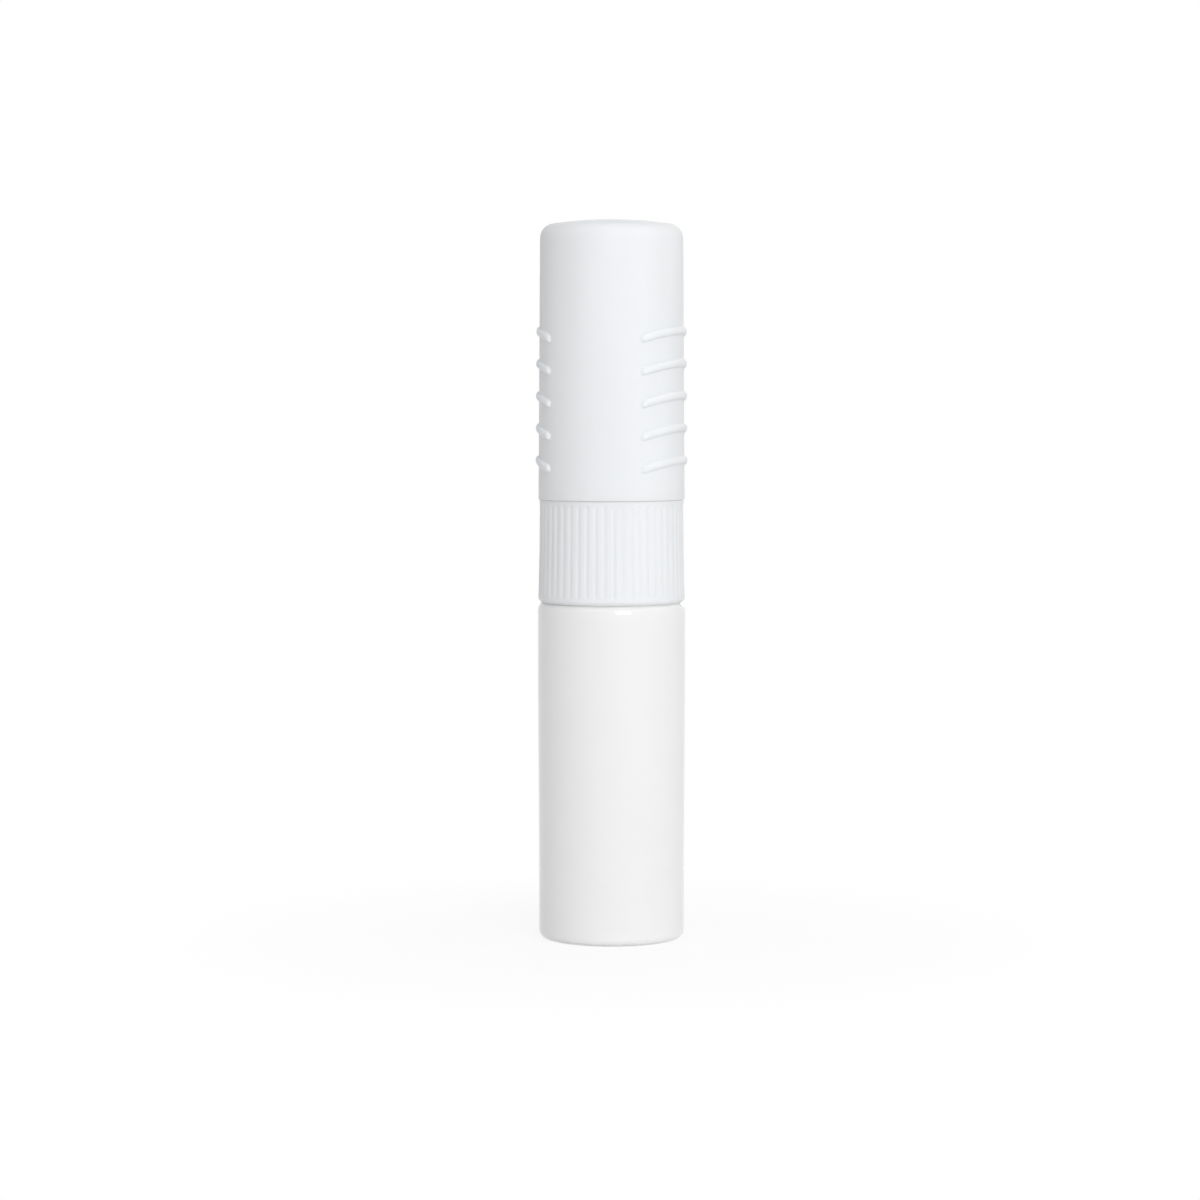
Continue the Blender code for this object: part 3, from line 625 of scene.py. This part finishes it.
def cap_pieces():
    satin = satin_plastic("cap_satin_skin")
    across = RIB_ROWS + [0.0] + [-a for a in reversed(RIB_ROWS)]
    rows = [CAP_RIBS_FOOT + RIB_ROW_INSET, CAP_RIBS_HEAD - RIB_ROW_INSET]
    for rib in range(RIBS):
        peak = CAP_FOOT + RIB_FIRST + RIB_PITCH * rib
        rows += [peak + RIB_WIDTH / 2 * a for a in across]
        rows.append(peak + RIB_PITCH / 2)
    outline = seated(half_section("cap"), 0, CAP_FOOT + WELD, 0, -CAP_SEAT)
    rim = placed(CAP_RIM, CAP_FOOT - CAP_SEAT)
    outline = reshaped(outline, 0, CAP_FOOT + RIM_HEIGHT, RIM_RADIUS, rim)
    outline = with_rows(rounded(outline, FINE_EDGE), rows, CAP_OUTSIDE)
    shell = turned("cap_shell", outline, "cap_unit", satin, RIB_COLUMNS, cap_warp)
    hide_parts("cap")
    natural = natural_plastic("insert_natural")
    outline = rounded(half_section("cap_insert"))
    sleeve = turned("cap_sleeve", outline, "cap_unit", natural)
    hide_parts("cap_insert")
    bore = min(r for r, z in half_section("cap_insert"))
    low = foot("cap_insert") + SLEEVE_START
    screw = (bore, -SLEEVE_RIDGE, low, BOSS_PITCH, BOSS_TURNS, SLEEVE_THREAD_WIDTH)
    thread("cap_sleeve_thread", *screw, "cap_unit", "insert_plastic", natural)


def seal_pieces():
    soft = soft_rubber("seal_soft")
    outline = rounded(half_section("tip_seal"), FINE_EDGE)
    seal = turned("seal_cup", outline, "cap_seal", soft, FINE_COLUMNS)
    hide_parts("tip_seal")
    steel = drawn_steel("pin_drawn_steel")
    outline = rounded(half_section("cleaning_pin"), FINE_EDGE)
    pin = turned("pin_wire", outline, "cap_seal", steel, PIN_COLUMNS)
    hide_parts("cleaning_pin")


# Collar, brush and nozzle
def flute_warp(angle, radius, height):
    """Presses the rounded flutes into the collar's skirt, with a run-out at each end."""
    low, high = COLLAR_FOOT + FLUTE_FOOT, COLLAR_HEAD - FLUTE_HEAD
    if radius < COLLAR_OUTSIDE or not low < height < high:
        return radius, height
    share = (angle / math.tau * FLUTES) % 1.0
    across = abs(share - FLUTE_CENTRE)
    across = min(across, 1 - across) / FLUTE_HALF_WIDTH
    if across >= 1:
        return radius, height
    groove = 0.5 + 0.5 * math.cos(math.pi * across)
    run = min(1.0, min(height - low, high - height) / FLUTE_RUN_OUT)
    return radius - FLUTE_DEPTH * groove * run * (2 - run), height


def collar_outline():
    """The collar's outline through its crests, seated between the bottle and the cap."""
    outline = half_section("collar", "y")
    seat = BODY_TOP + BODY_RISE + SEAT_GAP
    outline = seated(outline, 0, COLLAR_FOOT + RIM_HEIGHT, 0, seat - COLLAR_FOOT)
    outline = reshaped(outline, 0, seat + WELD, RIM_RADIUS, placed(COLLAR_LIP, seat))
    seat = CAP_FOOT - CAP_SEAT - SEAT_GAP
    low, high = COLLAR_HEAD - WELD, COLLAR_HEAD + WELD
    outline = seated(outline, low, high, BOSS_RADIUS, seat - COLLAR_HEAD)
    low = COLLAR_HEAD - RIM_HEIGHT
    outline = reshaped(outline, low, seat + WELD, RIM_RADIUS, placed(COLLAR_BROW, seat))
    return rounded(outline, FINE_EDGE)


def collar_pieces():
    satin = satin_plastic("collar_satin_skin")
    low, high = COLLAR_FOOT + FLUTE_FOOT, COLLAR_HEAD - FLUTE_HEAD
    rows = steps_between(low, low + FLUTE_RUN_OUT, FLUTE_RUN_OUT / 4)
    rows += steps_between(low + 2 * FLUTE_RUN_OUT, high - 2 * FLUTE_RUN_OUT, FLUTE_ROW_STEP)
    rows += steps_between(high - FLUTE_RUN_OUT, high, FLUTE_RUN_OUT / 4)
    outline = with_rows(collar_outline(), rows, COLLAR_OUTSIDE)
    columns = FLUTES * FLUTE_COLUMNS
    shell = turned("collar_shell", outline, "collar_unit", satin, columns, flute_warp)
    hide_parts("collar")
    section = half_section("collar", "y")
    skirt_bore = min(r for r, z in section if z < COLLAR_FOOT + STEP_CLEARANCE)
    low = COLLAR_FOOT + SKIRT_START
    screw = (skirt_bore, -SKIRT_RIDGE, low, NECK_PITCH, NECK_TURNS, SKIRT_THREAD_WIDTH)
    thread("collar_thread", *screw, "collar_unit", "collar_satin", satin)
    low = COLLAR_HEAD + BOSS_START
    screw = (BOSS_RADIUS, BOSS_RIDGE, low, BOSS_PITCH, BOSS_TURNS, BOSS_THREAD_WIDTH)
    thread("boss_thread", *screw, "collar_unit", "collar_satin", satin)
    foam = soft_rubber("gasket_foam_skin", (0.8, 0.8, 0.79))
    outline = rounded(half_section("collar_gasket"))
    gasket = turned("neck_washer", outline, "collar_liner", foam)
    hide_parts("collar_gasket")


def nozzle_pieces():
    gloss = satin_plastic("nozzle_gloss", (0.87, 0.872, 0.88), 0.24)
    outline = rounded(flange_seated("nozzle", head("collar")), NOZZLE_EDGE)
    cone = turned("nozzle_cone", outline, "collar_unit", gloss)
    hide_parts("nozzle")
    steel = drawn_steel("needle_drawn_steel")
    outline = rounded(half_section("needle_tube"), NEEDLE_EDGE)
    tube = turned("needle", outline, "collar_unit", steel, NEEDLE_COLUMNS)
    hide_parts("needle_tube")


def brush_pieces():
    plastic = satin_plastic("stem_satin", (0.85, 0.86, 0.88), 0.3)
    outline = rounded(half_section("brush_stem"), FINE_EDGE)
    stem = turned("stem", outline, "collar_unit", plastic)
    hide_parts("brush_stem")
    drill_inlet(stem)
    steel = drawn_steel("ferrule_drawn_steel")
    low, high = foot("brush_ferrule"), foot("brush_stem")
    crimps = [low + (high - low) * share for share in CRIMPS]
    rows = [h + CRIMP_ROW_STEP * k for h in crimps for k in range(-CRIMP_ROWS, CRIMP_ROWS + 1)]
    skin = min(r for r, z in half_section("brush_ferrule")) + FERRULE_SKIN
    outline = with_rows(rounded(half_section("brush_ferrule"), FERRULE_EDGE), rows, skin)

    def crimped(angle, radius, height):
        if radius < skin:
            return radius, height
        near = min(abs(height - h) for h in crimps) / CRIMP_HALF_WIDTH
        return radius - CRIMP_DEPTH * max(0.0, 1 - near * near), height

    ferrule = turned("ferrule", outline, "collar_unit", steel, FINE_COLUMNS, crimped)
    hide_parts("brush_ferrule")
    hairs = brush_hairs()
    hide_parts("brush_tuft")


def drill_inlet(stem):
    """Cuts the inlet across the stem, where the CAD node has it."""
    low, high = foot("brush_stem"), head("brush_stem")
    radius = max(r for r, z in half_section("brush_stem") if z < (low + high) / 2)
    between = (low + INLET_ABOVE_END, high - INLET_BELOW_HEAD)
    points = [v.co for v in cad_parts["brush_stem"].data.vertices]
    rim = [p.z for p in points if p.x > INLET_RIM * radius and between[0] < p.z < between[1]]
    bottom, top = min(rim), max(rim)
    size = (top - bottom) / 2
    bm = bmesh.new()
    bmesh.ops.create_cone(
        bm, cap_ends=True, segments=INLET_SIDES, radius1=size, radius2=size, depth=4 * radius
    )
    place = Matrix.Translation((0, 0, (top + bottom) / 2)) @ Matrix.Rotation(math.pi / 2, 4, "Y")
    bmesh.ops.transform(bm, matrix=place, verts=bm.verts)
    drill_mesh = bpy.data.meshes.new("inlet_drill")
    bm.to_mesh(drill_mesh)
    bm.free()
    drill = bpy.data.objects.new("inlet_drill", drill_mesh)
    bpy.context.scene.collection.objects.link(drill)
    cut = stem.modifiers.new("inlet", "BOOLEAN")
    cut.solver = "EXACT"
    cut.object = drill
    result = stem.evaluated_get(bpy.context.evaluated_depsgraph_get())
    drilled = bpy.data.meshes.new_from_object(result)
    stem.modifiers.remove(cut)
    drilled.set_sharp_from_angle(angle=SOFT_TURN)
    stem.data = drilled
    bpy.data.objects.remove(drill)


def tuft_radius(height):
    """The CAD tuft's radius at a height, read from its rings."""
    rings = sorted(half_section("brush_tuft"), key=lambda point: point[1])
    for (r0, z0), (r1, z1) in zip(rings, rings[1:]):
        if z0 <= height <= z1 and z1 > z0:
            return r0 + (r1 - r0) * (height - z0) / (z1 - z0)
    return rings[-1][0]


def brush_hairs():
    """Single hairs packed in the ferrule, drawn together towards a fine tip."""
    rng = random.Random(HAIR_SEED)
    bm = bmesh.new()
    top, exit_height, tip = head("brush_tuft"), foot("brush_ferrule"), foot("brush_tuft")
    full = tuft_radius(exit_height) - HAIR_RADIUS
    for i in range(HAIRS):
        spread = math.sqrt((i + 0.5) / HAIRS)
        azimuth = i * GOLDEN_ANGLE + rng.uniform(-HAIR_SCATTER, HAIR_SCATTER)
        sooner = TIP_SPREAD * spread**2 + rng.uniform(0, TIP_SCATTER)
        low = tip + (exit_height - tip) * sooner
        sway = rng.uniform(-HAIR_SWAY, HAIR_SWAY)
        rings = []
        for k in range(HAIR_RINGS):
            share = k / (HAIR_RINGS - 1)
            height = top + (low - top) * share
            room = tuft_radius(max(height, tip)) - HAIR_RADIUS
            out = spread * min(full, max(room, 0.0))
            if height < exit_height:
                out *= BELOW_FERRULE
            angle = azimuth + sway * share
            centre = Vector((out * math.cos(angle), out * math.sin(angle), height))
            thick = HAIR_RADIUS * (1 - HAIR_THINNING * share**3)
            ring = []
            for side in range(HAIR_SIDES):
                a = math.tau * side / HAIR_SIDES + angle
                ring.append(bm.verts.new(centre + Vector((math.cos(a), math.sin(a), 0)) * thick))
            rings.append(ring)
        for first, second in zip(rings, rings[1:]):
            for side in range(HAIR_SIDES):
                other = (side + 1) % HAIR_SIDES
                bm.faces.new([first[side], first[other], second[other], second[side]])
        bm.faces.new(rings[0])
        bm.faces.new(rings[-1])
    return finish(bm, "brush_hairs", "collar_unit", hair_nylon())


# Bottle, lacquer and balls
def neck_warp(angle, radius, height):
    """Raises the screw ridge on the bottle's neck."""
    if not NECK_RADIUS - WELD < radius < NECK_RADIUS + WELD:
        return radius, height
    low = BODY_TOP + NECK_START
    ridge = ridge_height(angle, height, low, NECK_PITCH, NECK_TURNS, NECK_HALF_WIDTH)
    return radius + NECK_RIDGE * ridge, height


def bottle_outline():
    """The bottle's outline with its bevelled shoulder."""
    shoulder = placed(SHOULDER, BODY_TOP + BODY_RISE)
    low = BODY_TOP - SHOULDER_HEIGHT
    outline = reshaped(half_section("bottle"), low, BODY_TOP + WELD, SHOULDER_RADIUS, shoulder)
    return rounded(outline, BOTTLE_EDGE, BOTTLE_CORNER_STEPS)


def bottle_pieces():
    clear = clear_plastic()
    low, high = BODY_TOP + NECK_PLAIN_FOOT, head("bottle") - NECK_PLAIN_HEAD
    rows = steps_between(low, high, NECK_ROW_STEP)
    outline = with_rows(bottle_outline(), rows, NECK_RADIUS - WELD, NECK_RADIUS + WELD)
    wall = turned(
        "bottle_wall", outline, "bottle_body", clear, BOTTLE_COLUMNS, neck_warp
    )
    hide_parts("bottle")
    white = lacquer_white()
    turned("lacquer", lacquer_outline(), "bottle_body", white, LACQUER_COLUMNS)
    natural = natural_plastic("wiper_natural")
    outline = rounded(flange_seated("wiper", head("bottle")))
    wiper = turned("wiper_plug", outline, "bottle_body", natural)
    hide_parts("wiper")


def lacquer_outline():
    """The lacquer as the wall shows it from outside, hollow for the brush and the balls."""
    skin = bottle_outline()
    inmost = NECK_RADIUS + LACQUER_NECK_ROOM
    shoulder = next(i for i, (r, z) in enumerate(skin) if z > BODY_TOP - WELD and r < inmost)
    skin = [Vector(point) for point in skin[: shoulder + 1]]
    outside = [(0.0, skin[0].y + CLEAR_DEPTH)]
    for before, here, after in zip(skin, skin[1:], skin[2:]):
        along = (after - before).normalized()
        inward = here + Vector((-along.y, along.x)) * CLEAR_DEPTH
        outside.append((inward.x, inward.y))
    section = half_section("bottle")
    bore = min(r for r, z in section if z > BODY_TOP)
    inside = section[max(i for i, (r, z) in enumerate(section) if abs(r - bore) < WELD) :]
    ceiling, floor = inside[0][1], inside[-1][1]
    side = max(r for r, z in inside) - LACQUER_SIDE
    level = ceiling - LACQUER_LEVEL
    way_in = bore + LACQUER_GAP
    under = level - LACQUER_FILM
    hollow = [(way_in, outside[-1][1]), (way_in, ceiling - LACQUER_ROOF)]
    hollow += placed(HOLLOW_AT_CEILING, ceiling, side)
    hollow += placed(HOLLOW_AT_LEVEL, level, side)
    hollow += [(LACQUER_WAY, level), (LACQUER_WAY, under), (side, under)]
    hollow += placed(HOLLOW_AT_FLOOR, floor, side)
    hollow.append((0.0, hollow[-1][1]))
    return outside + hollow


def ball_pieces():
    for side in ("front", "rear"):
        node = "mixing_ball_" + side
        low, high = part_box(node)
        radius = (high.z - low.z) / 2
        angles = [math.pi * i / BALL_ROWS for i in range(BALL_ROWS + 1)]
        outline = [(radius * math.sin(a), -radius * math.cos(a)) for a in angles]
        steel = polished_steel("ball_" + side + "_polish")
        name, body = "ball_" + side + "_sphere", "ball_" + side
        ball = turned(name, outline, body, steel, BALL_COLUMNS)
        ball.data.transform(Matrix.Translation((low + high) / 2))
        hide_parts(node)


# Studio
def seen_directly(nodes, links):
    """1 for camera, mirror and glass rays, which see the white backdrop, and 0 for the rest."""
    path = nodes.new("ShaderNodeLightPath")
    glossy = nodes.new("ShaderNodeMath")
    glossy.operation = "MAXIMUM"
    links.new(path.outputs["Is Camera Ray"], glossy.inputs[0])
    links.new(path.outputs["Is Glossy Ray"], glossy.inputs[1])
    both = nodes.new("ShaderNodeMath")
    both.operation = "MAXIMUM"
    links.new(glossy.outputs[0], both.inputs[0])
    links.new(path.outputs["Is Transmission Ray"], both.inputs[1])
    return both.outputs[0]


def backdrop():
    world = bpy.data.worlds.new("studio")
    bpy.context.scene.world = world
    world.use_nodes = True
    nodes, links = world.node_tree.nodes, world.node_tree.links
    ambient = nodes["Background"]
    ambient.inputs["Color"].default_value = (1, 1, 1, 1)
    ambient.inputs["Strength"].default_value = AMBIENT
    white = nodes.new("ShaderNodeBackground")
    white.inputs["Color"].default_value = (1, 1, 1, 1)
    mix = nodes.new("ShaderNodeMixShader")
    links.new(seen_directly(nodes, links), mix.inputs["Fac"])
    links.new(ambient.outputs[0], mix.inputs[1])
    links.new(white.outputs[0], mix.inputs[2])
    links.new(mix.outputs[0], nodes["World Output"].inputs["Surface"])


def floor():
    """A white floor that keeps a soft shadow near the pen and fades into the backdrop."""
    bm = bmesh.new()
    bmesh.ops.create_circle(bm, cap_ends=True, segments=96, radius=FLOOR_RADIUS)
    mesh = bpy.data.meshes.new("floor")
    bm.to_mesh(mesh)
    bm.free()
    plane = bpy.data.objects.new("floor", mesh)
    bpy.context.scene.collection.objects.link(plane)
    material = plain("floor_white", FLOOR_WHITE, 0.8, Specular_IOR_Level=0.1)
    nodes, links = nodes_of(material)
    vary_colour(material, noise(material, scale=40, detail=3), FLOOR_WHITE, FLOOR_SHADE)
    glow = nodes.new("ShaderNodeEmission")
    place = nodes.new("ShaderNodeNewGeometry")
    distance = nodes.new("ShaderNodeVectorMath")
    distance.operation = "LENGTH"
    links.new(place.outputs["Position"], distance.inputs[0])
    fade = nodes.new("ShaderNodeMapRange")
    fade.interpolation_type = "SMOOTHSTEP"
    fade.inputs["From Min"].default_value = GLOW_START
    fade.inputs["From Max"].default_value = GLOW_FULL
    fade.inputs["To Min"].default_value = GLOW_LEAST
    fade.inputs["To Max"].default_value = 1.0
    links.new(distance.outputs["Value"], fade.inputs["Value"])
    share = nodes.new("ShaderNodeMath")
    share.operation = "MULTIPLY"
    links.new(seen_directly(nodes, links), share.inputs[0])
    links.new(fade.outputs["Result"], share.inputs[1])
    mix = nodes.new("ShaderNodeMixShader")
    links.new(share.outputs[0], mix.inputs["Fac"])
    links.new(nodes["Principled BSDF"].outputs[0], mix.inputs[1])
    links.new(glow.outputs[0], mix.inputs[2])
    links.new(mix.outputs[0], nodes["Material Output"].inputs["Surface"])
    mesh.materials.append(material)


def softbox(name, power, width, height, azimuth, elevation):
    """A rectangular lamp. Azimuth 0 is at the camera's side, and grows to the right."""
    data = bpy.data.lights.new(name, "AREA")
    data.shape = "RECTANGLE"
    data.energy = power
    data.size = width
    data.size_y = height
    lamp = bpy.data.objects.new(name, data)
    a, e = math.radians(azimuth), math.radians(elevation)
    away = Vector((math.sin(a) * math.cos(e), -math.cos(a) * math.cos(e), math.sin(e)))
    lamp.location = Vector((0, 0, LAMP_AIM)) + away * LAMP_DISTANCE
    lamp.rotation_euler = (-away).to_track_quat("-Z", "Y").to_euler()
    bpy.context.scene.collection.objects.link(lamp)


def camera():
    data = bpy.data.cameras.new("camera")
    data.sensor_width = CAMERA_SENSOR
    data.lens = CAMERA_LENS
    data.clip_start = CAMERA_CLIP
    eye = bpy.data.objects.new("camera", data)
    eye.location = CAMERA_PLACE
    eye.rotation_euler = (CAMERA_AIM - CAMERA_PLACE).to_track_quat("-Z", "Y").to_euler()
    bpy.context.scene.collection.objects.link(eye)
    bpy.context.scene.camera = eye


# Places read from the frame
CAP_FOOT = foot("cap")
CAP_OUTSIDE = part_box("cap")[1].y - CAP_SKIN_DEPTH
CAP_RIBS_FOOT = CAP_FOOT + RIB_FIRST - RIB_REACH * RIB_PITCH
CAP_RIBS_HEAD = CAP_FOOT + RIB_FIRST + RIB_PITCH * (RIBS - 1) + RIB_REACH * RIB_PITCH
COLLAR_FOOT = foot("collar")
COLLAR_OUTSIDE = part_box("collar")[1].x - SKIRT_DEPTH
COLLAR_HEAD = max(z for r, z in half_section("collar", "y") if r > COLLAR_OUTSIDE)
BOSS_RADIUS = max(r for r, z in half_section("collar", "y") if z > COLLAR_HEAD + STEP_CLEARANCE)
BOTTLE_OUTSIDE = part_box("bottle")[1].x - BOTTLE_SKIN_DEPTH
BODY_TOP = max(z for r, z in half_section("bottle") if r > BOTTLE_OUTSIDE)
NECK_RADIUS = max(r for r, z in half_section("bottle") if z > BODY_TOP + STEP_CLEARANCE)

bpy.context.scene.view_settings.view_transform = "Standard"
camera()
backdrop()
floor()
for name, settings in LAMPS.items():
    softbox(name, *settings)
bottle_pieces()
ball_pieces()
collar_pieces()
nozzle_pieces()
brush_pieces()
cap_pieces()
seal_pieces()
